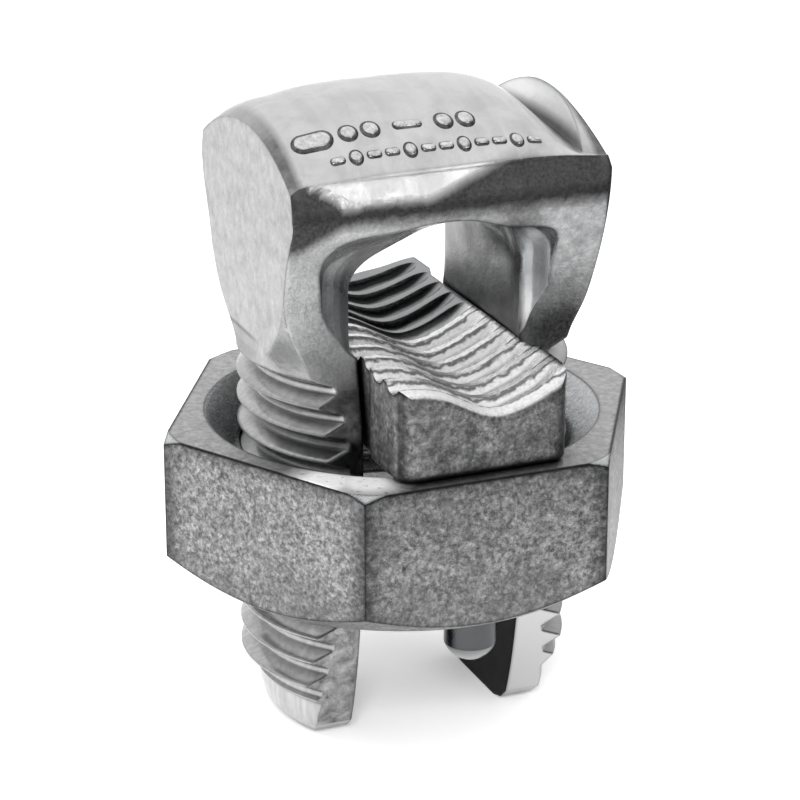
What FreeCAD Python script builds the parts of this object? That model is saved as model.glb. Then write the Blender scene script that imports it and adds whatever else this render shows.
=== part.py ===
import FreeCAD, Part
import math
import os

Vec = FreeCAD.Vector
os.makedirs("parts", exist_ok=True)

# driving dimensions, in mm, with the leg tips on z = 0 and the thread's axis on x = y = 0
THREAD_R = 11.1            # major radius of the split thread
PITCH = 1.814              # 14 turns to the inch
THREAD_DEPTH = 1.11
THREAD_PLAY = 0.12         # gap between the nut's thread and the bolt's
SLOT_HALF = 5.72           # half the gap between the two legs
NUT_TOP = 21.4             # height of the nut's top face in the photo
NUT_HEIGHT = 10.3
NUT_CORNER_R = 16.86       # centre to corner of the hexagon
NUT_CHAMFER_R = 14.1       # radius where the lower corner chamfer starts
NUT_CHAMFER_DEG = 35.0
NUT_RECESS_R = 13.3        # rim of the sunk cone round the thread
NUT_RECESS_DEPTH = 2.1
END_LEFT = -10.9           # flat left end of the head
CREASE_HALF = 8.27         # half depth of the head at the crease between crown and nose
CREASE_FOOT = 18.45        # height of the crease's foot over the nut
CROWN_AT = 8.6             # half depth at which the crown's side heights are given
CROWN_HALF = 9.2           # half depth to which the crown's arcs run on
LOBE_HALF = 8.6            # raised lobe at the right end: half depth and heights over the nut
LOBE_MID = 21.35
LOBE_SIDE = 17.9
OVER_HEAD = 24.0           # height over the nut that clears the head
THREAD_START = 3.2         # middle of the thread's first groove
BAR_HALF = 5.57            # half width of the pressure bar between the legs
BAR_END_HALF = 5.92        # half width of its two ends, which stand clear of the legs
BAR_END_FROM = 8.6         # distance from the axis where the wider ends start
BAR_YAW = 0.8              # degrees that the bar sits turned in the play of the slot
BAR_LOW_R = 0.45           # rounding of its bottom rim
BAR_FRONT = -13.7
BAR_BACK = 13.05
BAR_HEIGHT = 6.2
RIB_PITCH = 2.28           # spacing of the round grooves across the bar's top
RIB_DEPTH = 0.5
RIB_CUT_R = 0.95
RIB_FIRST = -12.3
PIN_R = 1.8                # prongs that keep the bar in the slot
PIN_PLACE = (2.4, -6.2)
PIN_TIP_Z = 4.85
PIN_DOME = 1.3

BIG = 60.0


def face_of(points):
    """Closed flat face through straight edges."""
    return Part.Face(Part.makePolygon(points + [points[0]]))


def spline(points):
    curve = Part.BSplineCurve()
    curve.interpolate(points)
    return curve.toShape()


def closed_face(edges):
    return Part.Face(Part.Wire(Part.__sortEdges__(edges)))


def line(a, b):
    return Part.makeLine(a, b)


def z_of(height_over_nut):
    return NUT_TOP + height_over_nut


# helical groove cutter: one profile swept along a helix
def helix_solid(profile, z_start, turns):
    """profile is a list of (radius, offset along z), swept up a right hand helix from z_start."""
    radius = max(r for r, _ in profile)
    path = Part.Wire(Part.makeHelix(PITCH, turns * PITCH, radius))
    section = Part.makePolygon([Vec(r, 0, dz) for r, dz in profile + profile[:1]])
    body = path.makePipeShell([section], True, True)
    body.translate(Vec(0, 0, z_start))
    return body


def bolt_groove():
    flank = math.tan(math.radians(30))
    root = PITCH / 8
    outer = THREAD_R + 0.1
    half_root = root
    half_out = half_root + (THREAD_DEPTH + 0.1) * flank
    profile = [
        (THREAD_R - THREAD_DEPTH, -half_root),
        (outer, -half_out),
        (outer, half_out),
        (THREAD_R - THREAD_DEPTH, half_root),
    ]
    groove = helix_solid(profile, THREAD_START, 13)
    # both ends of the groove lie over the slot, so no step shows on a leg
    groove.rotate(Vec(0, 0, 0), Vec(0, 0, 1), 90)
    return groove


def nut_core():
    """The space that the nut's thread leaves free: the bolt's thread with the play added."""
    flank = math.tan(math.radians(30))
    root = THREAD_R - THREAD_DEPTH
    play = THREAD_PLAY / math.cos(math.radians(30))
    inner, outer = root + THREAD_PLAY, THREAD_R + THREAD_PLAY + 0.1
    half_in = PITCH / 8 + (inner - root) * flank - play
    half_out = PITCH / 8 + (outer - root) * flank - play
    profile = [(inner, -half_in), (outer, -half_out), (outer, half_out), (inner, half_in)]
    ridge = helix_solid(profile, THREAD_START + 3 * PITCH, 9)
    ridge.rotate(Vec(0, 0, 0), Vec(0, 0, 1), 90)
    # both ends of the helix stay inside the core, clear of the nut
    low = NUT_TOP - NUT_HEIGHT - 5
    core = Part.makeCylinder(THREAD_R + THREAD_PLAY, NUT_HEIGHT + 12, Vec(0, 0, low))
    return core.cut(ridge)


# split bolt: one forged piece, a turned blank cut by end flats, front profile, crown and slot
def turned_blank():
    outline = [
        (0.0, 0.0), (8.0, 0.0), (9.0, 0.35), (9.6, 1.1), (9.8, 2.0),
        (9.8, 2.9), (11.1, 4.3), (THREAD_R, z_of(5.2)),
    ]
    lower = [line(Vec(a[0], 0, a[1]), Vec(b[0], 0, b[1])) for a, b in zip(outline, outline[1:])]
    flare = spline([
        Vec(THREAD_R, 0, z_of(5.2)),
        Vec(11.35, 0, z_of(6.2)),
        Vec(12.1, 0, z_of(7.9)),
        Vec(12.8, 0, z_of(10.2)),
        Vec(13.35, 0, z_of(12.6)),
        Vec(13.8, 0, z_of(15.4)),
        Vec(14.1, 0, z_of(19.0)),
        Vec(14.2, 0, z_of(OVER_HEAD)),
    ])
    rim, middle = Vec(14.2, 0, z_of(OVER_HEAD)), Vec(0, 0, z_of(OVER_HEAD))
    face = closed_face(lower + [flare, line(rim, middle), line(middle, Vec(0, 0, 0))])
    return face.revolve(Vec(0, 0, 0), Vec(0, 0, 1), 360)


def end_profile():
    """Left and right ends, as an outline in x and z pulled through in y."""
    right = spline([
        Vec(11.15, -BIG / 2, 0),
        Vec(11.13, -BIG / 2, z_of(4.5)),
        Vec(11.02, -BIG / 2, z_of(8.0)),
        Vec(11.15, -BIG / 2, z_of(12.0)),
        Vec(11.3, -BIG / 2, z_of(15.0)),
        Vec(11.2, -BIG / 2, z_of(17.2)),
        Vec(10.8, -BIG / 2, z_of(19.0)),
        Vec(10.5, -BIG / 2, z_of(OVER_HEAD)),
    ])
    a, b = Vec(10.5, -BIG / 2, z_of(OVER_HEAD)), Vec(END_LEFT + 0.15, -BIG / 2, z_of(OVER_HEAD))
    c = Vec(END_LEFT, -BIG / 2, z_of(13.0))
    d, e = Vec(END_LEFT + 0.1, -BIG / 2, z_of(5.6)), Vec(-11.3, -BIG / 2, z_of(3.5))
    f, g = Vec(-11.3, -BIG / 2, 0), Vec(11.15, -BIG / 2, 0)
    edges = [right, line(a, b), line(b, c), line(c, d), line(d, e), line(e, f), line(f, g)]
    return closed_face(edges).extrude(Vec(0, BIG, 0))


def side_profile():
    """Front and back faces, as an outline in y and z pulled through in x."""
    leg = [(2.9, 0.0), (4.1, 0.35), (5.0, 1.15), (5.8, 3.7), (6.4, 6.4), (6.85, 9.2), (7.3, 14.0),
           (7.45, NUT_TOP - 1), (7.25, z_of(2.0)), (6.75, z_of(4.3)), (6.4, z_of(6.6))]
    head = [(6.65, z_of(9.0)), (7.15, z_of(11.6)), (7.85, z_of(13.7)), (8.4, z_of(15.0)), (8.66, z_of(15.9)),
            (8.7, z_of(16.7)), (8.58, z_of(17.5)), (CREASE_HALF, z_of(CREASE_FOOT))]
    top = z_of(OVER_HEAD)
    edges = []
    for s in (-1, 1):
        edges.append(line(Vec(-BIG / 2, 0, 0), Vec(-BIG / 2, s * leg[0][0], 0)))
        corner = [Vec(-BIG / 2, s * y, z) for y, z in leg[:3]]
        edges.extend(line(p, q) for p, q in zip(corner, corner[1:]))
        edges.append(spline([Vec(-BIG / 2, s * y, z) for y, z in leg[2:] + head]))
        rim = Vec(-BIG / 2, s * CREASE_HALF, top)
        edges.append(line(Vec(-BIG / 2, s * CREASE_HALF, z_of(CREASE_FOOT)), rim))
        edges.append(line(rim, Vec(-BIG / 2, 0, top)))
    return closed_face(edges).extrude(Vec(BIG, 0, 0))


def crown_edge(mid, edge):
    """Height of a crown arc at y = CROWN_HALF, for an arc of height mid at 0 and edge at CROWN_AT."""
    drop = mid - edge
    radius = (CROWN_AT ** 2 + drop ** 2) / (2 * drop)
    return mid - radius + math.sqrt(radius ** 2 - CROWN_HALF ** 2)


def crown():
    """Domed top, as arcs in y and z joined along x."""
    # x, height over the nut in the middle, and at CROWN_AT to each side
    stations = [
        (-12.5, 18.2, 15.9), (-11.0, 20.45, 17.9), (-10.3, 21.2, 18.2), (-9.0, 21.8, 18.3),
        (-6.0, 22.35, 18.35), (-2.0, 22.55, 18.4), (2.0, 22.5, 18.45), (5.0, 22.15, 18.5),
        (7.0, 21.3, 18.55), (8.4, 20.0, 18.55), (9.6, 18.95, 18.5), (12.5, 18.75, 18.5),
    ]
    wires = []
    for x, mid, edge in stations:
        side = z_of(crown_edge(mid, edge))
        a, b = Vec(x, -CROWN_HALF, side), Vec(x, -CROWN_HALF, -1)
        c, d = Vec(x, CROWN_HALF, -1), Vec(x, CROWN_HALF, side)
        arc = Part.Arc(a, Vec(x, 0, z_of(mid)), d).toShape()
        wires.append(Part.Wire(Part.__sortEdges__([arc, line(a, b), line(b, c), line(c, d)])))
    dome = Part.makeLoft(wires, True, False)
    # raised lobe at the right end
    a, b = Vec(0, -LOBE_HALF, z_of(LOBE_SIDE)), Vec(0, -LOBE_HALF, z_of(10))
    c, d = Vec(0, LOBE_HALF, z_of(10)), Vec(0, LOBE_HALF, z_of(LOBE_SIDE))
    top = Part.Arc(a, Vec(0, 0, z_of(LOBE_MID)), d).toShape()
    lobe = closed_face([top, line(a, b), line(b, c), line(c, d)])
    lobe.translate(Vec(8.0, 0, 0))
    lobe = lobe.extrude(Vec(4.5, 0, 0))
    inner = face_of([
        Vec(9.15, -20, z_of(18.0)), Vec(10.45, -20, z_of(22.0)), Vec(14, -20, z_of(22.0)),
        Vec(14, -20, z_of(9.0)), Vec(9.15, -20, z_of(9.0)),
    ])
    lobe = lobe.common(inner.extrude(Vec(0, 40, 0)))
    return dome.fuse(lobe)


# top of the opening between the legs, as x, height over the nut, and share of the flare's rise
ARCH = [
    (-SLOT_HALF, 10.2, 1.6), (-5.5, 11.1, 1.7), (-4.7, 12.0, 1.6), (-2.75, 12.95, 1.2), (-0.8, 13.75, 0.9),
    (1.4, 14.2, 0.5), (3.2, 14.2, 0.05), (4.5, 13.6, 0.35), (5.4, 12.3, 1.0), (SLOT_HALF, 10.4, 1.7),
]
# lower end of the flare on each side, as share of the spread and height over the nut
FLARE_END = [(0.0, 6.2), (0.5, 6.8), (0.88, 7.9), (1.0, 9.2)]


def opening_outline(y, left, right, rise, bottom):
    """Arched outline of the opening at one depth, spread to both sides and raised by the flare."""
    points = []
    for x, h, share in ARCH:
        spread = left if x < 0 else right
        points.append(Vec(x * (SLOT_HALF + spread) / SLOT_HALF, y, z_of(h) + rise * share))
    low_left = [Vec(-SLOT_HALF - left * share, y, z_of(h)) for share, h in FLARE_END]
    low_right = [Vec(SLOT_HALF + right * share, y, z_of(h)) for share, h in FLARE_END]
    foot_left, foot_right = Vec(-SLOT_HALF, y, bottom), Vec(SLOT_HALF, y, bottom)
    return Part.Wire([
        line(foot_left, low_left[0]), spline(low_left), line(low_left[-1], points[0]), spline(points),
        line(points[-1], low_right[-1]), spline(low_right[::-1]), line(low_right[0], foot_right),
        line(foot_right, foot_left),
    ])


def flare(side, stations):
    """Widening of the opening towards the front (side -1) or the back (side 1)."""
    wires = [opening_outline(side * y, left, right, rise, z_of(5.5)) for y, left, right, rise in stations]
    return Part.makeLoft(wires, True, True)


def opening():
    slot = Part.Face(opening_outline(-BIG / 2, 0, 0, 0, -5)).extrude(Vec(0, BIG, 0))
    # depth from the axis, spread to the left and to the right, and rise
    front = [
        (4.9, 0.0, 0.0, 0.0), (5.3, 0.2, 0.06, 0.15), (5.8, 0.65, 0.2, 0.4), (6.15, 1.05, 0.42, 0.6),
        (6.45, 1.6, 0.85, 0.75), (6.6, 2.1, 1.3, 0.85), (6.75, 2.5, 1.85, 0.9), (7.2, 2.8, 2.05, 1.1),
        (7.8, 3.1, 2.15, 1.35), (8.4, 3.4, 2.25, 1.65), (9.2, 3.8, 2.4, 2.0),
    ]
    back = [
        (5.9, 0.0, 0.0, 0.0), (6.5, 0.15, 0.15, 0.15), (7.1, 0.45, 0.45, 0.4), (7.8, 1.1, 1.1, 0.8),
        (9.2, 2.6, 2.6, 1.5),
    ]
    return slot.fuse(flare(-1, front)).fuse(flare(1, back))


def split_bolt():
    # the thread is cut while the blank is still a plain turned shape
    blank = turned_blank().cut(bolt_groove())
    blank = blank.cut(opening())
    blank = blank.common(side_profile())
    blank = blank.common(end_profile())
    return blank.common(crown())


# hex nut: turned cone chamfers, a sunk cone on top, and a thread that runs on the bolt's
def hex_nut():
    low = NUT_TOP - NUT_HEIGHT
    corners = []
    for i in range(6):
        turn = math.radians(60 * i)
        corners.append(Vec(NUT_CORNER_R * math.cos(turn), NUT_CORNER_R * math.sin(turn), low))
    nut = face_of(corners).extrude(Vec(0, 0, NUT_HEIGHT))
    outer = NUT_CORNER_R + 1.14
    rise = (outer - NUT_CHAMFER_R) * math.tan(math.radians(NUT_CHAMFER_DEG))
    envelope = face_of([
        Vec(0, 0, low), Vec(NUT_CHAMFER_R, 0, low), Vec(outer, 0, low + rise),
        Vec(outer, 0, NUT_TOP - 1.2), Vec(outer - 1.8, 0, NUT_TOP), Vec(0, 0, NUT_TOP),
    ]).revolve(Vec(0, 0, 0), Vec(0, 0, 1), 360)
    # the thread is cut while the nut is still a plain prism
    nut = nut.cut(nut_core()).common(envelope)
    # both cones run on past the nut's faces and into its bore
    deep = NUT_RECESS_DEPTH
    top_cone = [
        (0, NUT_TOP - 2 * deep), (2 * THREAD_R - NUT_RECESS_R, NUT_TOP - 2 * deep),
        (2 * NUT_RECESS_R - THREAD_R, NUT_TOP + deep), (0, NUT_TOP + deep),
    ]
    low_cone = [(0, low - 1), (THREAD_R + 1.5, low - 1), (THREAD_R - 2.5, low + 3), (0, low + 3)]
    for outline in (top_cone, low_cone):
        cone = face_of([Vec(r, 0, z) for r, z in outline])
        nut = nut.cut(cone.revolve(Vec(0, 0, 0), Vec(0, 0, 1), 360))
    return nut


# pressure bar: slides between the legs, with a ribbed hollow top and two prongs through the nut
HOLLOW = [
    (-7.5, 6.35), (-5.6, 6.3), (-4.2, 6.2), (-2.9, 5.85), (-1.4, 5.1), (-0.2, 4.5), (0.8, 4.27),
    (1.8, 4.4), (3.3, 4.95), (4.4, 5.5), (5.6, 6.1), (7.5, 6.9),
]


def hollow_height(x, h, y):
    """Height of the hollow over the nut: full depth to y = 4, then shallower to the back."""
    rest = 6.35 if x < 0 else 6.15
    fade = min(1.0, max(0.0, (y - 4.0) / 10.0))
    return h + (rest - h) * 0.6 * fade if h < rest else h


def hollow_cutter():
    """Everything over the bar's hollow top, joined through outlines along y."""
    wires = []
    for y in (-20.0, 4.0, 6.5, 9.0, 11.5, 14.0, 20.0):
        points = [Vec(x, y, z_of(hollow_height(x, h, y))) for x, h in HOLLOW]
        left, right = points[0], points[-1]
        high_left, high_right = Vec(left.x, y, z_of(12)), Vec(right.x, y, z_of(12))
        wires.append(Part.Wire([
            spline(points), line(right, high_right), line(high_right, high_left), line(high_left, left),
        ]))
    return Part.makeLoft(wires, True, True)


def groove_tube(y):
    """Round cutter straight across the bar, following its hollow top."""
    rings = []
    for x, h in HOLLOW:
        # the groove runs out just inside the right hand edge
        lift = RIB_DEPTH if x > 5 else 0.0
        centre = Vec(x, y, z_of(hollow_height(x, h, y)) + RIB_CUT_R - RIB_DEPTH + lift)
        rings.append(Part.Wire(Part.makeCircle(RIB_CUT_R, centre, Vec(1, 0, 0))))
    return Part.makeLoft(rings, True, False)


def end_rounding(y, inward):
    """Cutter that rounds the top edge at one end of the bar, following the hollow."""
    wires = []
    for x, h in HOLLOW:
        # the rounding grows towards the right hand corner
        r = 0.8 + 0.13 * max(0.0, x - 1.0)
        top = z_of(hollow_height(x, h, y))
        a, b = Vec(x, y - inward, top + 1), Vec(x, y + inward * r, top + 1)
        c, d = Vec(x, y + inward * r, top), Vec(x, y, top - r)
        near = r * (1 - math.sqrt(0.5))
        mid = Vec(x, y + inward * near, top - near)
        e = Vec(x, y - inward, top - r)
        arc = Part.Arc(c, mid, d).toShape()
        wires.append(Part.Wire([line(a, b), line(b, c), arc, line(d, e), line(e, a)]))
    return Part.makeLoft(wires, True, False)


def bar_outline():
    """Outline seen from above: two ends a little wider than the part between the legs."""
    near, far = BAR_END_FROM - 0.8, BAR_END_FROM + 0.3
    right = [
        (BAR_END_HALF, BAR_FRONT), (BAR_END_HALF, -far), (BAR_HALF, -near),
        (BAR_HALF, near), (BAR_END_HALF, far), (BAR_END_HALF, BAR_BACK),
    ]
    left = [(-x, y) for x, y in reversed(right)]
    return [Vec(x, y, NUT_TOP) for x, y in right + left]


def prong(x, y):
    ball_r = (PIN_R ** 2 + PIN_DOME ** 2) / (2 * PIN_DOME)
    ball = Part.makeSphere(ball_r, Vec(x, y, PIN_TIP_Z + ball_r))
    cap = Part.makeCylinder(PIN_R, PIN_DOME + 0.01, Vec(x, y, PIN_TIP_Z)).common(ball)
    shaft_low = PIN_TIP_Z + PIN_DOME
    shaft = Part.makeCylinder(PIN_R, NUT_TOP + 1 - shaft_low, Vec(x, y, shaft_low))
    return shaft.fuse(cap)


def pressure_bar():
    bar = face_of(bar_outline()).extrude(Vec(0, 0, BAR_HEIGHT + 1))
    upright = [e for e in bar.Edges if e.BoundBox.ZLength > 1 and abs(e.CenterOfMass.y) > 12]
    bar = bar.makeFillet(1.1, upright)
    low_rim = [e for e in bar.Edges if e.BoundBox.ZMax < NUT_TOP + 0.01]
    bar = bar.makeFillet(BAR_LOW_R, low_rim)
    bar = bar.cut(hollow_cutter())
    bar = bar.cut(end_rounding(BAR_FRONT, 1)).cut(end_rounding(BAR_BACK, -1))
    # round grooves straight across the hollow
    y = RIB_FIRST
    while y < BAR_BACK - 0.5:
        bar = bar.cut(groove_tube(y))
        y += RIB_PITCH
    for s in (1, -1):
        bar = bar.fuse(prong(s * PIN_PLACE[0], s * PIN_PLACE[1]))
    bar = bar.removeSplitter()
    bar.rotate(Vec(0, 0, 0), Vec(0, 0, 1), BAR_YAW)
    return bar


nodes = {
    "split_bolt": split_bolt(),
    "hex_nut": hex_nut(),
    "pressure_bar": pressure_bar(),
}
for name, shape in nodes.items():
    solids = shape.Solids
    print(name, "solids", len(solids), "valid", shape.isValid(), "volume", round(shape.Volume, 1))
    whole = max(solids, key=lambda s: s.Volume)
    whole.exportStep("parts/" + name + ".step")
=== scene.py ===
import bmesh
import bpy
import math
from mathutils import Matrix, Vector
from mathutils.bvhtree import BVHTree


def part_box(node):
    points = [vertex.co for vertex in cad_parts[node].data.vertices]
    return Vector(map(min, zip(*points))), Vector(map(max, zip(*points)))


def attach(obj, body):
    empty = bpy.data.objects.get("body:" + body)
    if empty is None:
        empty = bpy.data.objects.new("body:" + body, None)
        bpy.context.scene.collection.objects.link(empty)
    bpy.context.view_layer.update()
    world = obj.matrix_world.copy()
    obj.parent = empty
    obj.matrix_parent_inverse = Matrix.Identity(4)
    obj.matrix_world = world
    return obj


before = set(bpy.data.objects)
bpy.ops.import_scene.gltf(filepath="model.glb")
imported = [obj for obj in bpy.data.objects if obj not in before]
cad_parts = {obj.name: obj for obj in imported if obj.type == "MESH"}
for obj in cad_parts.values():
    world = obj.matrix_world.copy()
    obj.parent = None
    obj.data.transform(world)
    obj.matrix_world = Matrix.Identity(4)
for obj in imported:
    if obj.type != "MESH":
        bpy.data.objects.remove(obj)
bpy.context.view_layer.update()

MM = 0.001
LEFT, RIGHT = (-1.0, 0.0, 0.0), (1.0, 0.0, 0.0)
FRONT, BACK = (0.0, -1.0, 0.0), (0.0, 1.0, 0.0)
DOWN, UP = (0.0, 0.0, -1.0), (0.0, 0.0, 1.0)

# sizes read from the CAD parts, and heights counted from them
NUT_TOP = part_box("hex_nut")[1][2]
NUT_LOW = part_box("hex_nut")[0][2]
NUT_CORNER_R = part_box("hex_nut")[1][0]
HEAD_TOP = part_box("split_bolt")[1][2]
BAR_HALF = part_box("pressure_bar")[1][0]
NOSE_LOW = HEAD_TOP - 7.0 * MM      # lower side of the nose over the arch
THREAD_TOP = NUT_TOP + 5.0 * MM
END_FOOT = NUT_TOP + 6.55 * MM      # where the flat ends of the head stop

# heights on the bolt: where a mask is 0, and where it is 1
OVER_THREAD = THREAD_TOP - 1.0 * MM, THREAD_TOP
OVER_ARCH = NOSE_LOW, NOSE_LOW + 1.2 * MM
UNDER_CREASE = NUT_TOP + 17.4 * MM, NUT_TOP + 16.5 * MM
OVER_HOLLOW_FOOT = NUT_TOP + 15.2 * MM, NUT_TOP + 16.2 * MM
CROWN_RIM = NUT_TOP + 17.6 * MM, NUT_TOP + 18.6 * MM
HIGH_ON_LOBE = NUT_TOP + 19.0 * MM, NUT_TOP + 20.0 * MM
FLARE_FOOT = NUT_TOP + 10.5 * MM, NUT_TOP + 7.5 * MM
LOW_IN_SLOT = NUT_LOW + 1.0 * MM, NUT_LOW

# the same across the bolt, in x
LEFT_OF_NOSE = -7.4 * MM, -10.4 * MM
RIGHT_OF_NOSE = -1.5 * MM, 4.5 * MM
LEFT_SHOULDER = -9.85 * MM, -10.35 * MM
RIGHT_SHOULDER = 10.0 * MM, 10.4 * MM
LEFT_FLARE = -5.2 * MM, -5.6 * MM
RIGHT_FLARE = 5.2 * MM, 5.6 * MM
LEFT_JAMB = 0.0, -6.0 * MM
LEFT_LEG, RIGHT_LEG = (0.0, -4.0 * MM), (0.0, 4.0 * MM)
LOBE_SIDE = 5.0 * MM, 6.0 * MM          # where the lobe's left side begins

# the same from front to back, in y
TO_FRONT = 0.0, -5.0 * MM
TO_BACK = -2.5 * MM, 0.0

# bands of the bolt, from one limit to the other
NECK = THREAD_TOP - 0.2 * MM, THREAD_TOP + 5.4 * MM     # turned neck between the thread and the head
SLOT = -6.8 * MM, 6.8 * MM                              # a little wider than the slot between the legs
CUT_LINE = END_FOOT - 0.25 * MM, END_FOOT

CREASE_LIFT = 2.3 * MM      # how much higher the crease runs at both ends of the nose
HOLLOW_DROP = 1.6 * MM      # how much lower the hollow reaches at its left end
RIGHT_FOOT = (8.8 * MM, -7.0 * MM, NUT_TOP + 5.9 * MM)      # darker foot of the right jamb
RIGHT_FOOT_REACH = 4.9 * MM
NOTCH_CORNER = (4.8 * MM, -7.1 * MM, NUT_TOP + 14.4 * MM)   # corner of the opening at its upper right, painted in shadow
NOTCH_CORNER_REACH = 2.6 * MM

# places on the nut
LOW_ON_NUT = NUT_LOW + 4.0 * MM, NUT_LOW + 1.0 * MM
SHADED_RIM = NUT_TOP - 1.1 * MM, NUT_TOP
SHADED_CORNER = NUT_CORNER_R - 0.7 * MM, NUT_CORNER_R - 0.15 * MM
RUBBED_SPOTS = (-9.6 * MM, -10.9 * MM, NUT_TOP), (-7.2 * MM, -12.0 * MM, NUT_TOP)
RUBBED_REACH = 3.2 * MM

# places on the bar
RIB_FIRST, RIB_PITCH, RIB_SLANT = -12.3 * MM, 2.28 * MM, 0.014      # grooves across the bar's top
UNDER_HEAD = 0.9 * MM, 2.2 * MM                                     # in y, where painted shade turns the ribs dark under the head
OVER_PRONGS = NUT_LOW - 1.0 * MM, NUT_LOW
LEFT_CORNERS = 1.3 * MM - BAR_HALF, 0.7 * MM - BAR_HALF
RIGHT_CORNERS = BAR_HALF - 1.2 * MM, BAR_HALF - 0.5 * MM

EDGE_SAMPLES = 8            # rays of each Bevel and Ambient Occlusion node
SPOT_CORE = 0.35            # share of a spot's reach where its mask is still 1
COLOUR_A, COLOUR_B, COLOUR_RESULT = 6, 7, 2     # sockets of a Mix node that mixes colours


# small helpers for node trees
def add(tree, kind, inputs=None, **settings):
    """One node, with its settings and its unlinked input values."""
    node = tree.nodes.new(kind)
    for name, value in settings.items():
        setattr(node, name, value)
    for name, value in (inputs or {}).items():
        node.inputs[name].default_value = value
    return node


def join(tree, source, target):
    """Links a source to a socket, or writes it there if it is a plain number, vector or colour."""
    if isinstance(source, (int, float, tuple)):
        target.default_value = source
    else:
        tree.links.new(source, target)


def calc(tree, operation, first, second, clamp=False):
    """A Math node on links or plain numbers."""
    node = add(tree, "ShaderNodeMath", operation=operation, use_clamp=clamp)
    join(tree, first, node.inputs[0])
    join(tree, second, node.inputs[1])
    return node.outputs[0]


def vector_calc(tree, operation, *values):
    """A Vector Math node on links or plain vectors."""
    node = add(tree, "ShaderNodeVectorMath", operation=operation)
    for value, socket in zip(values, node.inputs):
        join(tree, value, socket)
    single = operation in ("DOT_PRODUCT", "DISTANCE", "LENGTH")
    return node.outputs["Value" if single else "Vector"]


def times(tree, *values):
    """Product of any number of links and plain numbers."""
    result = values[0]
    for value in values[1:]:
        result = calc(tree, "MULTIPLY", result, value)
    return result


def either(tree, first, second):
    """Mask that is 1 where at least one of two masks is."""
    return calc(tree, "MAXIMUM", first, second)


def without(tree, mask):
    """Mask that is 1 where the given one is 0."""
    return calc(tree, "SUBTRACT", 1.0, mask, clamp=True)


def spread(tree, value, low, high, to_low=0.0, to_high=1.0):
    """Maps value from low..high to to_low..to_high, kept inside that range."""
    node = add(tree, "ShaderNodeMapRange", clamp=True)
    join(tree, value, node.inputs["Value"])
    join(tree, low, node.inputs["From Min"])
    join(tree, high, node.inputs["From Max"])
    join(tree, to_low, node.inputs["To Min"])
    join(tree, to_high, node.inputs["To Max"])
    return node.outputs[0]


def between(tree, mask, at_none, at_full):
    """A number that goes from one value to another as the mask grows from 0 to 1."""
    return spread(tree, mask, 0.0, 1.0, at_none, at_full)


def noise(tree, where, scale, detail, roughness, distortion=0.0):
    """Cloudy noise, mostly between 0.3 and 0.7."""
    settings = {"Detail": detail, "Roughness": roughness, "Distortion": distortion}
    node = add(tree, "ShaderNodeTexNoise", settings)
    join(tree, where, node.inputs["Vector"])
    join(tree, scale, node.inputs["Scale"])
    return node.outputs["Fac"]


def blend(tree, factor, first, second):
    """Mixes two colours, each a link or a plain colour."""
    node = add(tree, "ShaderNodeMix", data_type="RGBA")
    join(tree, factor, node.inputs["Factor"])
    join(tree, first, node.inputs[COLOUR_A])
    join(tree, second, node.inputs[COLOUR_B])
    return node.outputs[COLOUR_RESULT]


def coat(tree, skin, colour, mask, share=1.0):
    """Lays a colour over the skin where the mask is 1, as strongly as the share says."""
    if share < 1.0:
        mask = times(tree, mask, share)
    return blend(tree, mask, skin, colour)


def grey(level, blue=0.0):
    """A plain grey, which may lean a little towards blue."""
    return (level * (1 - blue), level, level * (1 + blue), 1.0)


# shared effects
EFFECTS = {}


def new_effect(name, ins, outs):
    """An empty shared effect, with named inputs (name, type, default) and outputs (name, type)."""
    tree = bpy.data.node_groups.new(name, "ShaderNodeTree")
    for label, kind, value in ins:
        made = tree.interface.new_socket(name=label, in_out="INPUT", socket_type="NodeSocket" + kind)
        if value is not None:
            made.default_value = value
    for label, kind in outs:
        tree.interface.new_socket(name=label, in_out="OUTPUT", socket_type="NodeSocket" + kind)
    EFFECTS[name] = tree
    return tree, tree.nodes.new("NodeGroupInput").outputs, tree.nodes.new("NodeGroupOutput").inputs


def make_soft_edges():
    """Rounded look of forged edges: the normal to shade with, and a mask that is 1 on an edge."""
    tree, given, result = new_effect(
        "soft_edges",
        [("Radius", "Float", 0.0003), ("Gain", "Float", 4.0)],
        [("Normal", "Vector"), ("Edge", "Float")],
    )
    rounded = add(tree, "ShaderNodeBevel", samples=EDGE_SAMPLES)
    join(tree, given["Radius"], rounded.inputs["Radius"])
    plain = add(tree, "ShaderNodeNewGeometry")
    alike = vector_calc(tree, "DOT_PRODUCT", rounded.outputs[0], plain.outputs["Normal"])
    bend = calc(tree, "SUBTRACT", 1.0, alike)
    join(tree, rounded.outputs[0], result["Normal"])
    join(tree, calc(tree, "MULTIPLY", bend, given["Gain"], clamp=True), result["Edge"])


def make_crevices():
    """Mask of painted shade: 1 deep in a gap or corner, 0 in the open."""
    tree, given, result = new_effect(
        "crevices",
        [("Reach", "Float", 0.002), ("Start", "Float", 0.35), ("End", "Float", 0.95)],
        [("Depth", "Float")],
    )
    hidden = add(tree, "ShaderNodeAmbientOcclusion", samples=EDGE_SAMPLES)
    join(tree, given["Reach"], hidden.inputs["Distance"])
    join(tree, spread(tree, hidden.outputs["AO"], given["Start"], given["End"], 1.0, 0.0), result["Depth"])


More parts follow.
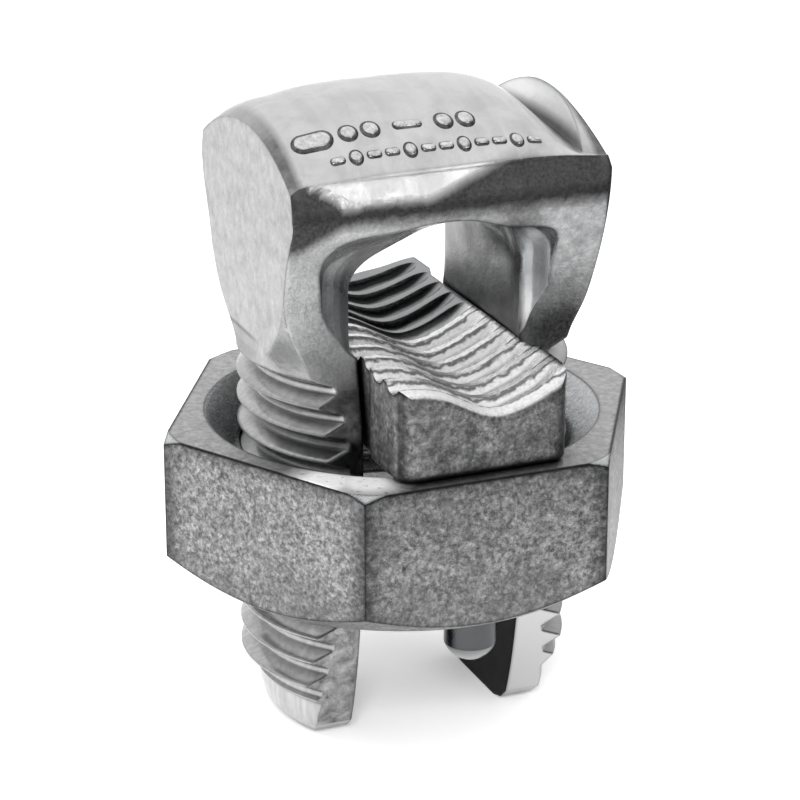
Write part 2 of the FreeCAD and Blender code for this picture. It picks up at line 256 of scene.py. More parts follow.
def make_grain():
    """Skin of forged and blasted metal: fine specks, soft mottling and a height for both."""
    tree, given, result = new_effect(
        "metal_grain",
        [("Vector", "Vector", None), ("Speck Scale", "Float", 5000.0), ("Mottle Scale", "Float", 900.0)],
        [("Speck", "Float"), ("Mottle", "Float"), ("Height", "Float")],
    )
    specks = noise(tree, given["Vector"], given["Speck Scale"], detail=4.0, roughness=0.75)
    clouds = noise(tree, given["Vector"], given["Mottle Scale"], detail=5.0, roughness=0.7, distortion=0.3)
    speck = spread(tree, specks, 0.28, 0.72)
    mottle = spread(tree, clouds, 0.28, 0.72)
    join(tree, speck, result["Speck"])
    join(tree, mottle, result["Mottle"])
    join(tree, calc(tree, "ADD", times(tree, speck, 0.3), times(tree, mottle, 0.7)), result["Height"])


def make_streaks():
    """Fine lines drawn out along one direction, set by how the vector is squeezed."""
    tree, given, result = new_effect(
        "drawn_streaks",
        [("Vector", "Vector", None), ("Squeeze", "Vector", (1.0, 1.0, 0.1)), ("Scale", "Float", 1500.0)],
        [("Streak", "Float")],
    )
    squeezed = vector_calc(tree, "MULTIPLY", given["Vector"], given["Squeeze"])
    lines = noise(tree, squeezed, given["Scale"], detail=3.0, roughness=0.6, distortion=0.3)
    join(tree, spread(tree, lines, 0.35, 0.65), result["Streak"])


for make_effect in (make_soft_edges, make_crevices, make_grain, make_streaks):
    make_effect()


def use(tree, name, inputs, vector=None):
    """Places a shared effect in a material, with its own values."""
    node = add(tree, "ShaderNodeGroup", inputs, node_tree=EFFECTS[name])
    if vector is not None:
        join(tree, vector, node.inputs["Vector"])
    return node


# masks found from the place on the part and from the way its faces look
def coordinate(tree, where, axis):
    """One coordinate of a place on the part."""
    parts = add(tree, "ShaderNodeSeparateXYZ")
    join(tree, where, parts.inputs[0])
    return parts.outputs[axis]


def facing(tree, direction, low, high):
    """Mask of the faces that look along a direction: 0 below the low cosine, 1 above the high one."""
    plain = add(tree, "ShaderNodeNewGeometry")
    return spread(tree, vector_calc(tree, "DOT_PRODUCT", plain.outputs["Normal"], direction), low, high)


def level_of(tree, where, low, high, axis="Z"):
    """Mask that grows from 0 at low to 1 at high, along one axis."""
    return spread(tree, coordinate(tree, where, axis), low, high)


def window(tree, where, low, high, fade, axis="Z"):
    """Mask that is 1 between low and high along one axis, with soft ends."""
    rise = level_of(tree, where, low - fade, low + fade, axis)
    fall = level_of(tree, where, high + fade, high - fade, axis)
    return times(tree, rise, fall)


def near(tree, where, middle, reach):
    """Mask that is 1 at a point and fades out at the given reach."""
    gap = vector_calc(tree, "DISTANCE", where, middle)
    return spread(tree, gap, SPOT_CORE * reach, reach, 1.0, 0.0)


# metal finishes
def empty_material(name):
    """A material with nothing in its tree but the output: also gives the tree and the surface socket."""
    material = bpy.data.materials.new(name)
    material.use_nodes = True
    tree = material.node_tree
    tree.nodes.clear()
    return material, tree, add(tree, "ShaderNodeOutputMaterial").inputs["Surface"]


def new_metal(name):
    """A plain metal material: its tree, its shader and the part's own coordinates."""
    material, tree, surface = empty_material(name)
    shader = add(tree, "ShaderNodeBsdfPrincipled", {"Metallic": 1.0})
    join(tree, shader.outputs[0], surface)
    where = add(tree, "ShaderNodeTexCoord").outputs["Object"]
    return material, tree, shader, where


def level_ribs(tree, normal, share):
    """Turns a normal back towards the top across the ribs, as if they were that much shallower."""
    keep = add(tree, "ShaderNodeCombineXYZ", {"X": 1.0, "Z": 1.0})
    join(tree, without(tree, share), keep.inputs["Y"])
    return vector_calc(tree, "NORMALIZE", vector_calc(tree, "MULTIPLY", normal, keep.outputs[0]))


def finish_metal(tree, shader, colour, roughness, height, edges, bump, flat=None):
    """Links colour and roughness, and a bump over the softened edges' normal."""
    relief = add(tree, "ShaderNodeBump", {"Strength": 1.0, "Distance": bump})
    normal = edges.outputs["Normal"]
    if flat is not None:
        normal = level_ribs(tree, normal, flat)
    join(tree, height, relief.inputs["Height"])
    join(tree, normal, relief.inputs["Normal"])
    join(tree, colour, shader.inputs["Base Color"])
    join(tree, roughness, shader.inputs["Roughness"])
    join(tree, relief.outputs[0], shader.inputs["Normal"])


def hollow_shade_mask(tree, where, front_or_back):
    """Mask of the painted shade in the hollow under the crown, up to the crease at both ends of the nose.
    """
    clouds = noise(tree, where, 700.0, detail=4.0, roughness=0.7, distortion=0.6)
    ragged = spread(tree, clouds, 0.3, 0.7, -1.0, 1.0)
    across = calc(tree, "ADD", coordinate(tree, where, "X"), times(tree, ragged, 0.5 * MM))
    height = calc(tree, "ADD", coordinate(tree, where, "Z"), times(tree, ragged, 0.22 * MM))
    left = spread(tree, across, *LEFT_OF_NOSE)
    right = spread(tree, across, *RIGHT_OF_NOSE)
    lifted = times(tree, either(tree, left, right), CREASE_LIFT)
    under_crease = spread(tree, calc(tree, "SUBTRACT", height, lifted), *UNDER_CREASE)
    dropped = times(tree, left, HOLLOW_DROP)
    over_foot = spread(tree, calc(tree, "ADD", height, dropped), *OVER_HOLLOW_FOOT)
    return times(tree, front_or_back, under_crease, over_foot)


class BoltMasks:
    """The bolt's grain, and masks of its faces and heights, which the parts of its finish share."""

    def __init__(self, tree, where, grain):
        self.where = where
        self.speck, self.mottle = grain.outputs["Speck"], grain.outputs["Mottle"]
        clouds = noise(tree, where, 420.0, detail=3.0, roughness=0.55, distortion=0.5)
        self.blotch = spread(tree, clouds, 0.38, 0.62)
        self.front = facing(tree, FRONT, 0.5, 0.85)
        self.front_or_back = either(tree, self.front, facing(tree, BACK, 0.5, 0.85))
        self.ends = either(tree, facing(tree, LEFT, 0.9, 0.97), facing(tree, RIGHT, 0.9, 0.97))
        self.slot_side = window(tree, where, *SLOT, 0.2 * MM, "X")
        self.over_thread = level_of(tree, where, *OVER_THREAD)
        self.neck = window(tree, where, *NECK, 0.4 * MM)
        under_arch = without(tree, level_of(tree, where, *OVER_ARCH))
        self.jamb = times(tree, self.front_or_back, self.over_thread, under_arch)
        self.hollow = hollow_shade_mask(tree, where, self.front_or_back)
        self.slot_depth = times(tree, self.ends, self.slot_side, level_of(tree, where, *LOW_IN_SLOT))


def forged_skin(tree, bolt):
    """Smooth forged skin, with a few faint scratches."""
    scratch = use(tree, "drawn_streaks", {"Squeeze": (1.0, 0.12, 0.3), "Scale": 900.0}, bolt.where)
    skin = blend(tree, bolt.blotch, grey(0.6), grey(0.7))
    skin = coat(tree, skin, grey(0.4), bolt.speck, share=0.2)
    return coat(tree, skin, grey(0.9), scratch.outputs["Streak"], share=0.22)


def speckled_head(tree, bolt, skin):
    """Speckled ends, jambs and neck, and painted light on the left side of the lobe."""
    cast = blend(tree, bolt.mottle, grey(0.2), grey(0.48))
    cast = coat(tree, cast, grey(0.12), bolt.speck, share=0.4)
    skin = coat(tree, skin, cast, bolt.ends, share=0.85)
    coarse = blend(tree, bolt.mottle, grey(0.18, 0.02), grey(0.56))
    coarse = coat(tree, coarse, grey(0.9), level_of(tree, bolt.where, *LEFT_JAMB, "X"), share=0.5)
    coarse = coat(tree, coarse, grey(0.16, 0.03), bolt.speck, share=0.6)
    neck = times(tree, bolt.neck, without(tree, bolt.ends))
    skin = coat(tree, skin, coarse, either(tree, bolt.jamb, neck), share=0.95)
    turned = times(tree, neck, without(tree, bolt.slot_side), without(tree, bolt.front_or_back))
    skin = coat(tree, skin, grey(0.14), turned, share=0.5)
    # painted light on the left side of the lobe
    lobe = times(tree, facing(tree, (-0.8, 0.0, 0.6), 0.65, 0.9),
                 level_of(tree, bolt.where, *LOBE_SIDE, "X"),
                 level_of(tree, bolt.where, *HIGH_ON_LOBE))
    return coat(tree, skin, grey(0.95), lobe, share=0.8)


def foot_cut(tree, bolt, skin):
    """The cut at the foot of both flat ends, darker below it, with painted shade in a dark line along it.
    """
    outer = times(tree, bolt.ends, without(tree, bolt.slot_side),
                  level_of(tree, bolt.where, *TO_BACK, "Y"))
    below_cut = times(tree, outer, level_of(tree, bolt.where, END_FOOT, END_FOOT - 0.2 * MM))
    skin = coat(tree, skin, grey(0.22), below_cut, share=0.5)
    # painted shade in a dark line along the cut
    cut_line = times(tree, outer, window(tree, bolt.where, *CUT_LINE, 0.1 * MM))
    return coat(tree, skin, grey(0.05), cut_line, share=0.75)


def opening_shade_and_highlight(tree, bolt, skin):
    """The opening: painted shade on its left flare, hollow and upper right corner, a darker foot of its
    right jamb, and a painted highlight low on its right flare.
    """
    # painted shade on the left flare
    flare = times(tree, facing(tree, (0.72, -0.69, 0.0), 0.8, 0.95), bolt.over_thread,
                  level_of(tree, bolt.where, *LEFT_FLARE, "X"))
    skin = coat(tree, skin, grey(0.15, 0.06), flare, share=0.68)
    # painted shade in the hollow under the crown
    dark_skin = blend(tree, bolt.speck, grey(0.11), grey(0.01))
    skin = coat(tree, skin, dark_skin, bolt.hollow, share=0.93)
    # darker foot of the right jamb, and painted shadow in the opening's upper right corner
    foot = times(tree, near(tree, bolt.where, RIGHT_FOOT, RIGHT_FOOT_REACH), bolt.front_or_back)
    corner = times(tree, near(tree, bolt.where, NOTCH_CORNER, NOTCH_CORNER_REACH), 0.9)
    skin = coat(tree, skin, dark_skin, either(tree, foot, corner), share=0.95)
    # painted highlight at the foot of the right flare, fading to darker grey higher up
    strip = times(tree, facing(tree, (-0.72, -0.69, 0.0), 0.75, 0.92), bolt.over_thread,
                  level_of(tree, bolt.where, *RIGHT_FLARE, "X"))
    strip_highlight = blend(tree, level_of(tree, bolt.where, *FLARE_FOOT), grey(0.34, 0.03), grey(0.99))
    return coat(tree, skin, strip_highlight, strip)


def shaded_walls(tree, bolt, skin):
    """Painted shade in clouds on the walls of the opening, between the jambs."""
    clouds = noise(tree, bolt.where, 190.0, detail=2.0, roughness=0.5, distortion=0.2)
    wall = blend(tree, spread(tree, clouds, 0.38, 0.62), grey(0.1), grey(0.42))
    wall = coat(tree, wall, grey(0.06), bolt.speck, share=0.25)
    return coat(tree, skin, wall, times(tree, bolt.ends, bolt.slot_side, bolt.over_thread), share=0.9)


def milled_legs(tree, bolt, skin):
    """Turned thread and milled legs, with painted shade that makes them black low on the inside."""
    milled = use(tree, "drawn_streaks", {"Squeeze": (1.0, 1.0, 0.1), "Scale": 2200.0}, bolt.where)
    tooled = blend(tree, milled.outputs["Streak"], grey(0.44), grey(0.56))
    tooled = coat(tree, tooled, grey(0.18), level_of(tree, bolt.where, *RIGHT_LEG, "X"), share=0.65)
    mottled = blend(tree, bolt.mottle, grey(0.06), grey(0.44))
    flat_front = blend(tree, level_of(tree, bolt.where, *LEFT_LEG, "X"), grey(0.5), mottled)
    tooled = coat(tree, tooled, flat_front, bolt.front)
    blotches = times(tree, bolt.blotch, without(tree, bolt.front))
    tooled = coat(tree, tooled, grey(0.32), blotches, share=0.35)
    skin = coat(tree, skin, tooled, without(tree, bolt.over_thread))
    # painted shade: black low on the inside of the slot
    return coat(tree, skin, grey(0.012), bolt.slot_depth, share=0.97)


def dark_outlines(tree, bolt, skin, edges):
    """Painted shade in the gaps, along the edges, and on the shoulders at both ends of the crown."""
    # painted shade in the gaps, deeper higher up
    gap = use(tree, "crevices", {"Reach": 1.2 * MM, "Start": 0.3, "End": 0.9})
    deeper_shade_up = between(tree, level_of(tree, bolt.where, NUT_LOW, NUT_TOP), 0.5, 0.9)
    skin = coat(tree, skin, grey(0.02), times(tree, gap.outputs["Depth"], deeper_shade_up))
    # painted shade along the edges
    outline = times(tree, edges.outputs["Edge"], between(tree, bolt.neck, 0.5, 0.95))
    skin = coat(tree, skin, grey(0.07), outline)
    # painted shade on the rounded shoulders of the crown, darker in front
    shoulder = either(tree, level_of(tree, bolt.where, *LEFT_SHOULDER, "X"),
                      level_of(tree, bolt.where, *RIGHT_SHOULDER, "X"))
    darker_in_front = between(tree, level_of(tree, bolt.where, *TO_FRONT, "Y"), 0.45, 1.0)
    shoulder = times(tree, shoulder, level_of(tree, bolt.where, *CROWN_RIM), facing(tree, UP, 0.1, 0.3),
                     darker_in_front)
    return coat(tree, skin, blend(tree, bolt.mottle, grey(0.06), grey(0.26)), shoulder, share=0.92)


def bright_forging():
    """The bolt: a bright plated forging, with darker speckled jambs and milled legs."""
    material, tree, shader, where = new_metal("bright_forging")
    edges = use(tree, "soft_edges", {"Radius": 0.4 * MM, "Gain": 5.0})
    grain = use(tree, "metal_grain", {"Speck Scale": 4200.0, "Mottle Scale": 1100.0}, where)
    bolt = BoltMasks(tree, where, grain)
    skin = forged_skin(tree, bolt)
    for part_of_finish in (speckled_head, foot_cut, opening_shade_and_highlight, shaded_walls, milled_legs):
        skin = part_of_finish(tree, bolt, skin)
    skin = dark_outlines(tree, bolt, skin, edges)
    textured = either(tree, bolt.jamb, times(tree, bolt.ends, bolt.over_thread))
    textured = either(tree, textured, bolt.neck)
    rough = between(tree, bolt.blotch, 0.24, 0.18)
    for mask, more in ((textured, 0.13), (bolt.hollow, 0.2), (bolt.slot_depth, 0.5)):
        rough = calc(tree, "ADD", rough, times(tree, mask, more))
    height = times(tree, grain.outputs["Height"], between(tree, textured, 0.15, 1.0))
    finish_metal(tree, shader, skin, rough, height, edges, bump=0.025 * MM)
    return material


def nut_corners(tree, where):
    """Mask of the six upright corners of the nut, found by their distance from its axis."""
    across = vector_calc(tree, "MULTIPLY", where, (1.0, 1.0, 0.0))
    return spread(tree, vector_calc(tree, "LENGTH", across), *SHADED_CORNER)


def blasted_nut():
    """The nut: dull speckled grey with painted shade in its gaps and along its corners and edges, and worn
    brighter on top.
    """
    material, tree, shader, where = new_metal("blasted_nut")
    edges = use(tree, "soft_edges", {"Radius": 0.45 * MM, "Gain": 14.0})
    grain = use(tree, "metal_grain", {"Speck Scale": 3800.0, "Mottle Scale": 2000.0}, where)
    gap = use(tree, "crevices", {"Reach": 1.2 * MM, "Start": 0.3, "End": 0.9})
    stain = noise(tree, where, 240.0, detail=4.0, roughness=0.65, distortion=0.4)
    speck, mottle = grain.outputs["Speck"], grain.outputs["Mottle"]
    up = facing(tree, UP, 0.4, 0.6)
    top = facing(tree, UP, 0.9, 0.99)
    cone = times(tree, up, without(tree, top))
    # blasted sides
    skin = blend(tree, mottle, grey(0.07), grey(0.6))
    skin = coat(tree, skin, grey(0.04), spread(tree, speck, 0.3, 0.9), share=0.85)
    skin = coat(tree, skin, grey(0.12), spread(tree, stain, 0.42, 0.68), share=0.45)
    skin = coat(tree, skin, grey(0.1), level_of(tree, where, *LOW_ON_NUT), share=0.3)
    # worn top, bright cone round the thread, and the rubbed patch at the front left
    skin = coat(tree, skin, blend(tree, mottle, grey(0.34), grey(0.66)), top, share=0.85)
    skin = coat(tree, skin, blend(tree, mottle, grey(0.55, 0.02), grey(0.8, 0.02)), cone, share=0.9)
    patches = [near(tree, where, spot, RUBBED_REACH) for spot in RUBBED_SPOTS]
    rubbed = times(tree, either(tree, *patches), top, spread(tree, mottle, 0.0, 0.3))
    skin = coat(tree, skin, grey(0.98), rubbed)
    # painted shade in the gaps, on the corners and the rim, and along the edges
    skin = coat(tree, skin, grey(0.03), gap.outputs["Depth"], share=0.7)
    edge_shade = either(tree, nut_corners(tree, where), level_of(tree, where, *SHADED_RIM))
    edge_shade = times(tree, edge_shade, without(tree, up), between(tree, mottle, 0.9, 0.45))
    skin = coat(tree, skin, grey(0.05), edge_shade)
    outline = times(tree, edges.outputs["Edge"], without(tree, rubbed))
    skin = coat(tree, skin, grey(0.015), outline, share=0.9)
    join(tree, without(tree, times(tree, rubbed, 0.8)), shader.inputs["Metallic"])
    rough = calc(tree, "SUBTRACT", between(tree, speck, 0.36, 0.5), times(tree, cone, 0.15))
    finish_metal(tree, shader, skin, rough, grain.outputs["Height"], edges, bump=0.035 * MM)
    return material


def groove_shade_lines(tree, where):
    """Mask of thin lines of painted shade along both rims of every groove in the bar's top."""
    clouds = noise(tree, where, 1300.0, detail=3.0, roughness=0.6)
    ragged = spread(tree, clouds, 0.3, 0.7, -0.12 * MM, 0.12 * MM)
    slanted = times(tree, coordinate(tree, where, "X"), RIB_SLANT)
    along = calc(tree, "SUBTRACT", coordinate(tree, where, "Y"), slanted)
    along = calc(tree, "SUBTRACT", calc(tree, "ADD", along, ragged), RIB_FIRST)
    off = calc(tree, "PINGPONG", times(tree, along, 1.0 / RIB_PITCH), 0.5)
    return times(tree, spread(tree, off, 0.27, 0.32), spread(tree, off, 0.4, 0.35))


def ribs_shaded_at_rear(tree, speck, mottle, slope, rear):
    """Bright ribs with pale front slopes, and painted shade that turns them dark towards the rear, under
    the head.
    """
    ribs = blend(tree, mottle, grey(0.85), grey(0.99))
    ribs = coat(tree, ribs, grey(0.4), speck, share=0.15)
    # painted shade under the head, darker towards the rear
    ribs = coat(tree, ribs, grey(0.24, 0.03), rear, share=0.85)
    ribs = coat(tree, ribs, blend(tree, rear, grey(1.0), grey(0.01)), slope, share=0.97)
    pits = times(tree, spread(tree, speck, 0.45, 0.95), without(tree, rear))
    return coat(tree, ribs, grey(0.25), pits, share=0.4)


def rolled_bar():
    """The bar: bright on its ribs, dark and speckled on its ends, shiny on its prongs, with painted shade
    and a painted reflection.
    """
    material, tree, shader, where = new_metal("rolled_bar")
    edges = use(tree, "soft_edges", {"Radius": 0.4 * MM, "Gain": 9.0})
    grain = use(tree, "metal_grain", {"Speck Scale": 3600.0, "Mottle Scale": 1500.0}, where)
    gap = use(tree, "crevices", {"Reach": 0.8 * MM, "Start": 0.62, "End": 0.92})
    stain = noise(tree, where, 420.0, detail=4.0, roughness=0.65, distortion=0.4)
    speck, mottle = grain.outputs["Speck"], grain.outputs["Mottle"]
    top = facing(tree, UP, 0.3, 0.6)
    sides = without(tree, top)
    slope = facing(tree, FRONT, 0.08, 0.4)
    rear = level_of(tree, where, *UNDER_HEAD, "Y")
    in_the_open = without(tree, rear)
    prongs = without(tree, level_of(tree, where, *OVER_PRONGS))
    # speckled sides, ribs with painted shade at the rear, and shiny prongs with painted shade and a
    # painted reflection
    skin = blend(tree, mottle, grey(0.06), grey(0.78))
    skin = coat(tree, skin, grey(0.04), spread(tree, speck, 0.2, 0.9), share=0.78)
    skin = coat(tree, skin, grey(0.08), spread(tree, stain, 0.4, 0.65), share=0.5)
    skin = coat(tree, skin, ribs_shaded_at_rear(tree, speck, mottle, slope, rear), top)
    # prongs: painted shade above, and a painted reflection of the floor on their lower side
    prong_shade_and_reflection = blend(tree, facing(tree, DOWN, 0.15, 0.7), grey(0.09, 0.04), grey(0.5))
    skin = coat(tree, skin, prong_shade_and_reflection, prongs)
    # painted shade at the corners of both ends, in lines beside the grooves, in the gaps and along the
    # edges
    corners = either(tree, level_of(tree, where, *LEFT_CORNERS, "X"),
                     level_of(tree, where, *RIGHT_CORNERS, "X"))
    corners = times(tree, corners, sides, facing(tree, FRONT, 0.2, 0.5), between(tree, mottle, 0.95, 0.7))
    skin = coat(tree, skin, grey(0.03), corners)
    skin = coat(tree, skin, grey(0.03), times(tree, groove_shade_lines(tree, where), top, in_the_open), share=0.82)
    gap_shade = either(tree, between(tree, rear, 0.3, 1.0), times(tree, sides, 0.9))
    skin = coat(tree, skin, grey(0.02), times(tree, gap.outputs["Depth"], gap_shade))
    skin = coat(tree, skin, grey(0.025), times(tree, edges.outputs["Edge"], sides), share=0.9)
    # the front slopes of the ribs are dull, so that soft light fills them
    dull = times(tree, top, slope, in_the_open, 0.95)
    join(tree, without(tree, dull), shader.inputs["Metallic"])
    rough = between(tree, either(tree, top, prongs), 0.42, 0.22)
    shallow = times(tree, top, in_the_open, 0.93)
    finish_metal(tree, shader, skin, rough, grain.outputs["Height"], edges, bump=0.03 * MM, flat=shallow)
    return material


def dress(node, material):
    """Puts a material in every slot of a CAD node's object."""
    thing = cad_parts[node]
    for place in thing.material_slots:
        place.material = material


dress("split_bolt", bright_forging())
dress("hex_nut", blasted_nut())
dress("pressure_bar", rolled_bar())


# raised pips and bars on the front slope of the crown
MARK_RISE = 0.17 * MM
SUNK = 0.12 * MM
ROUND_STEPS = 20
# profile of a mark, from its foot to its top: share of its half width, and height over the crown
MARK_PROFILE = [(1.3, -SUNK), (1.3, 0.008 * MM), (1.0, 0.02 * MM), (0.9, 0.65 * MARK_RISE),
                (0.66, MARK_RISE), (0.3, 1.1 * MARK_RISE)]
SHADED_STEPS = 3             # steps of the profile that carry the painted shade, counted from the foot
# the two rows, in millimetres: place of the row in y, and each mark's x, half length and half width
HIGH_ROW = -5.5
HIGH_MARKS = [(-8.3, 0.62, 0.6), (-5.9, 0.02, 0.5), (-4.4, 0.02, 0.5), (0.6, 0.02, 0.5), (2.1, 0.02, 0.5),
              (-1.9, 0.7, 0.24)]
LOW_ROW = -7.15
LOW_START, LOW_STEP, LOW_COUNT = -7.2, 1.22, 12
LOW_PIP, LOW_BAR = (0.02, 0.36), (0.28, 0.18)
LOW_MARKS = [(LOW_START + LOW_STEP * i, *(LOW_PIP if i % 3 == 1 else LOW_BAR)) for i in range(LOW_COUNT)]


def worn_tops():
    """Tops of the raised marks, worn bright."""
    material, tree, shader, where = new_metal("worn_tops")
    edges = use(tree, "soft_edges", {"Radius": 0.05 * MM, "Gain": 2.0})
    grain = use(tree, "metal_grain", {"Speck Scale": 4200.0, "Mottle Scale": 2400.0}, where)
    skin = blend(tree, grain.outputs["Mottle"], grey(0.42), grey(0.98))
    # painted shade along the marks' edges
    skin = coat(tree, skin, grey(0.2), edges.outputs["Edge"], share=0.5)
    rough = between(tree, grain.outputs["Speck"], 0.14, 0.26)
    finish_metal(tree, shader, skin, rough, grain.outputs["Height"], edges, bump=0.01 * MM)
    return material


def mark_foot_shade():
    """Painted shade in a dark line round the foot of each mark."""
    material, tree, shader, where = new_metal("mark_foot_shade")
    edges = use(tree, "soft_edges", {"Radius": 0.05 * MM, "Gain": 2.0})
    grain = use(tree, "metal_grain", {"Speck Scale": 5200.0, "Mottle Scale": 2200.0}, where)
    skin = blend(tree, grain.outputs["Mottle"], grey(0.05), grey(0.3))
    rough = between(tree, grain.outputs["Speck"], 0.3, 0.5)
    finish_metal(tree, shader, skin, rough, grain.outputs["Height"], edges, bump=0.01 * MM)
    return material


def crown_surface():
    """Finds the point and the normal of the crown over a place in x and y."""
    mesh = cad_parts["split_bolt"].data
    tree = BVHTree.FromPolygons([v.co for v in mesh.vertices], [p.vertices for p in mesh.polygons])
    start_height = HEAD_TOP + 10.0 * MM

    def over(x, y):
        point, normal, _, _ = tree.ray_cast(Vector((x, y, start_height)), Vector(DOWN))
        return point, normal
    return over


def stadium(half_length, half_width):
    """Closed outline of a bar with round ends, in the plane of the crown."""
    points = []
    for step in range(ROUND_STEPS):
        turn = 2 * math.pi * (step + 0.5) / ROUND_STEPS
        shift = half_length if math.cos(turn) > 0 else -half_length
        points.append((shift + half_width * math.cos(turn), half_width * math.sin(turn)))
    return points


def solid_mark(metal, over, x, y, half_length, half_width):
    """A low bar or pip with rounded shoulders, laid on the crown round the place x, y."""
    rows = []
    for share, height in MARK_PROFILE:
        row = []
        for u, v in stadium(half_length, half_width * share):
            point, normal = over(x + u, y + v)
            row.append(metal.verts.new(point + normal * height))
        rows.append(row)
    metal.faces.new(rows[0][::-1])
    metal.faces.new(rows[-1])
    for level, (low, high) in enumerate(zip(rows, rows[1:])):
        for i in range(ROUND_STEPS):
            j = (i + 1) % ROUND_STEPS
            face = metal.faces.new((low[i], low[j], high[j], high[i]))
            face.material_index = 1 if level < SHADED_STEPS else 0


def crown_marks():
    """Both rows of marks, as one piece that rides on the bolt."""
    metal = bmesh.new()
    over = crown_surface()
    for row, marks in ((HIGH_ROW, HIGH_MARKS), (LOW_ROW, LOW_MARKS)):
        for x, half_length, half_width in marks:
            solid_mark(metal, over, x * MM, row * MM, half_length * MM, half_width * MM)
    bmesh.ops.recalc_face_normals(metal, faces=metal.faces)
    shape = bpy.data.meshes.new("crown_marks")
    metal.to_mesh(shape)
    metal.free()
    for face in shape.polygons:
        face.use_smooth = True
    shape.materials.append(worn_tops())
    shape.materials.append(mark_foot_shade())
    thing = bpy.data.objects.new("crown_marks", shape)
    bpy.context.scene.collection.objects.link(thing)
    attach(thing, "bolt")


crown_marks()


# floor, light and camera
FLOOR_HALF = 1.5
FLOOR_LIFT = 0.6            # how much light of its own the floor shows to the camera and to reflections
SHADOW_REACH, SHADOW_KEPT = 0.05, 0.4       # how far the part darkens the floor, and the light left there
CARD_HEIGHT = 0.4 * MM
CARD_NEAR, CARD_FAR = 0.06, 0.3             # inner and outer radius of the dark card
CARD_START, CARD_END, CARD_STEPS = -112.0, 60.0, 24     # in degrees round the part
ROOM_DIM, ROOM_BRIGHT = 0.2, 0.95
PART_MIDDLE = (0.0, 0.0, 0.02)
NOSE_MIDDLE = (-0.0036, -0.0085, 0.039)
CAMERA_TURN, CAMERA_LIFT, CAMERA_DISTANCE = math.radians(-22.2), math.radians(20.57), 0.20218
CAMERA_AIM = (-0.00012, 0.0, 0.02171)


def flat_thing(name, points, faces, material):
    """A flat mesh that belongs to the stage, not to the connector."""
    shape = bpy.data.meshes.new(name)
    shape.from_pydata(points, [], faces)
    shape.materials.append(material)
    thing = bpy.data.objects.new(name, shape)
    bpy.context.scene.collection.objects.link(thing)
    return thing


def floor():
    """White to the camera and to reflections, with the shadow kept."""
    material, tree, surface = empty_material("pale_floor")
    pale = add(tree, "ShaderNodeBsdfDiffuse", {"Color": grey(0.9)})
    seen = add(tree, "ShaderNodeLightPath").outputs
    rays = either(tree, seen["Is Camera Ray"], seen["Is Glossy Ray"])
    rays = either(tree, rays, seen["Is Transmission Ray"])
    open_air = add(tree, "ShaderNodeAmbientOcclusion", {"Distance": SHADOW_REACH}, samples=EDGE_SAMPLES)
    # painted shadow: the floor's own light fades where the part is near
    kept = between(tree, open_air.outputs["AO"], SHADOW_KEPT, 1.0)
    lift = add(tree, "ShaderNodeEmission")
    join(tree, times(tree, rays, kept, FLOOR_LIFT), lift.inputs["Strength"])
    both = add(tree, "ShaderNodeAddShader")
    join(tree, pale.outputs[0], both.inputs[0])
    join(tree, lift.outputs[0], both.inputs[1])
    join(tree, both.outputs[0], surface)
    corners = [(x * FLOOR_HALF, y * FLOOR_HALF, 0) for x, y in ((-1, -1), (1, -1), (1, 1), (-1, 1))]
    flat_thing("floor", corners, [(0, 1, 2, 3)], material)


def dark_card():
    """A dark card on the floor in front and to the right, seen only in the metal's reflections."""
    material, tree, surface = empty_material("dark_card")
    flat = add(tree, "ShaderNodeEmission", {"Color": (0.05, 0.05, 0.06, 1.0)})
    join(tree, flat.outputs[0], surface)
    points = []
    for i in range(CARD_STEPS + 1):
        turn = math.radians(CARD_START + (CARD_END - CARD_START) * i / CARD_STEPS)
        for r in (CARD_NEAR, CARD_FAR):
            points.append((r * math.cos(turn), r * math.sin(turn), CARD_HEIGHT))
    faces = [(2 * i, 2 * i + 1, 2 * i + 3, 2 * i + 2) for i in range(CARD_STEPS)]
    card = flat_thing("dark_card", points, faces, material)
    card.visible_camera = False
    card.visible_diffuse = False
    card.visible_shadow = False
    card.visible_transmission = False


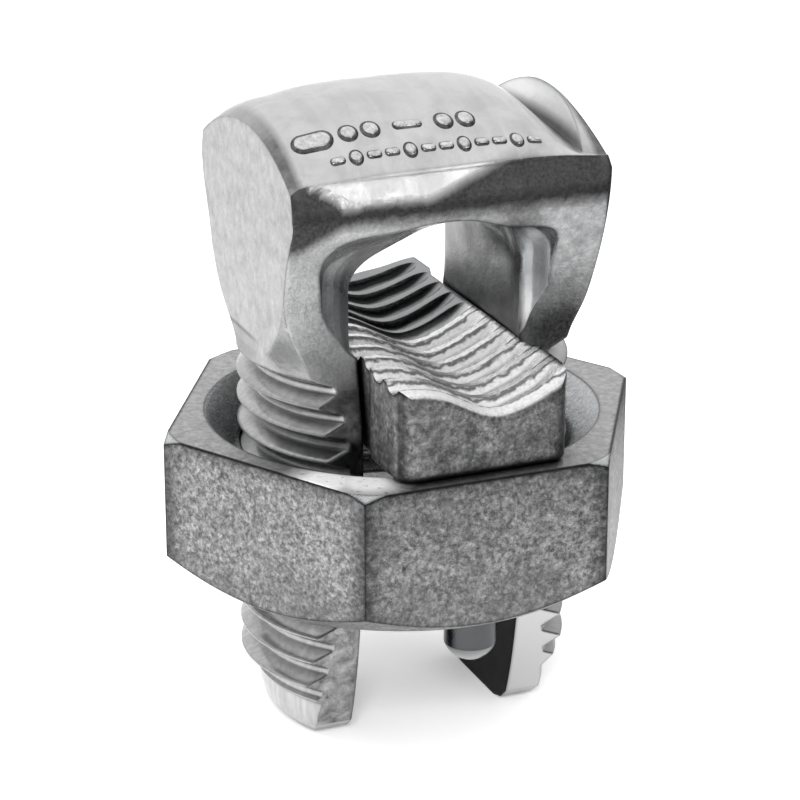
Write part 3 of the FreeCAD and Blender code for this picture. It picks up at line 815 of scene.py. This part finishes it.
def softbox(name, place, aim, size, power, glossy=True):
    """A rectangular lamp that looks at a point; without glossy, it shows in no reflection."""
    lamp = bpy.data.lights.new(name, "AREA")
    lamp.shape = "RECTANGLE"
    lamp.size, lamp.size_y = size
    lamp.energy = power
    thing = bpy.data.objects.new(name, lamp)
    thing.location = place
    way = Vector(aim) - Vector(place)
    thing.rotation_euler = way.to_track_quat("-Z", "Y").to_euler()
    thing.visible_glossy = glossy
    bpy.context.scene.collection.objects.link(thing)


def surroundings():
    """A pale room: bright above and behind the part, dim low in front of it."""
    world = bpy.data.worlds.new("studio")
    bpy.context.scene.world = world
    world.use_nodes = True
    tree = world.node_tree
    shade = tree.nodes["Background"]
    way = add(tree, "ShaderNodeTexCoord").outputs["Generated"]
    above = level_of(tree, way, 0.5, 0.85)
    behind = level_of(tree, way, -0.15, 0.35, "Y")
    level = between(tree, either(tree, above, behind), ROOM_DIM, ROOM_BRIGHT)
    tone = add(tree, "ShaderNodeCombineColor")
    for socket in tone.inputs[:3]:
        join(tree, level, socket)
    join(tree, tone.outputs[0], shade.inputs["Color"])
    shade.inputs["Strength"].default_value = 1.0


def camera():
    """A long lens at the photograph's viewing angle."""
    lens = bpy.data.cameras.new("camera")
    lens.lens = 135.0
    lens.sensor_width = 36.0
    lens.clip_start = 0.01
    lens.clip_end = 20.0
    thing = bpy.data.objects.new("camera", lens)
    way = Vector((math.sin(CAMERA_TURN) * math.cos(CAMERA_LIFT),
                  -math.cos(CAMERA_TURN) * math.cos(CAMERA_LIFT), math.sin(CAMERA_LIFT)))
    thing.location = Vector(CAMERA_AIM) + way * CAMERA_DISTANCE
    thing.rotation_euler = (-way).to_track_quat("-Z", "Y").to_euler()
    bpy.context.scene.collection.objects.link(thing)
    bpy.context.scene.camera = thing


floor()
dark_card()
surroundings()
softbox("key_softbox", (-0.25, 0.25, 0.35), PART_MIDDLE, size=(0.3, 0.3), power=0.3, glossy=False)
softbox("front_fill", (-0.12, -0.28, 0.22), PART_MIDDLE, size=(0.12, 0.12), power=1.0, glossy=False)
softbox("nose_light", (0.105, -0.268, 0.12), NOSE_MIDDLE, size=(0.03, 0.24), power=0.06)
camera()
bpy.context.scene.view_settings.view_transform = "Standard"
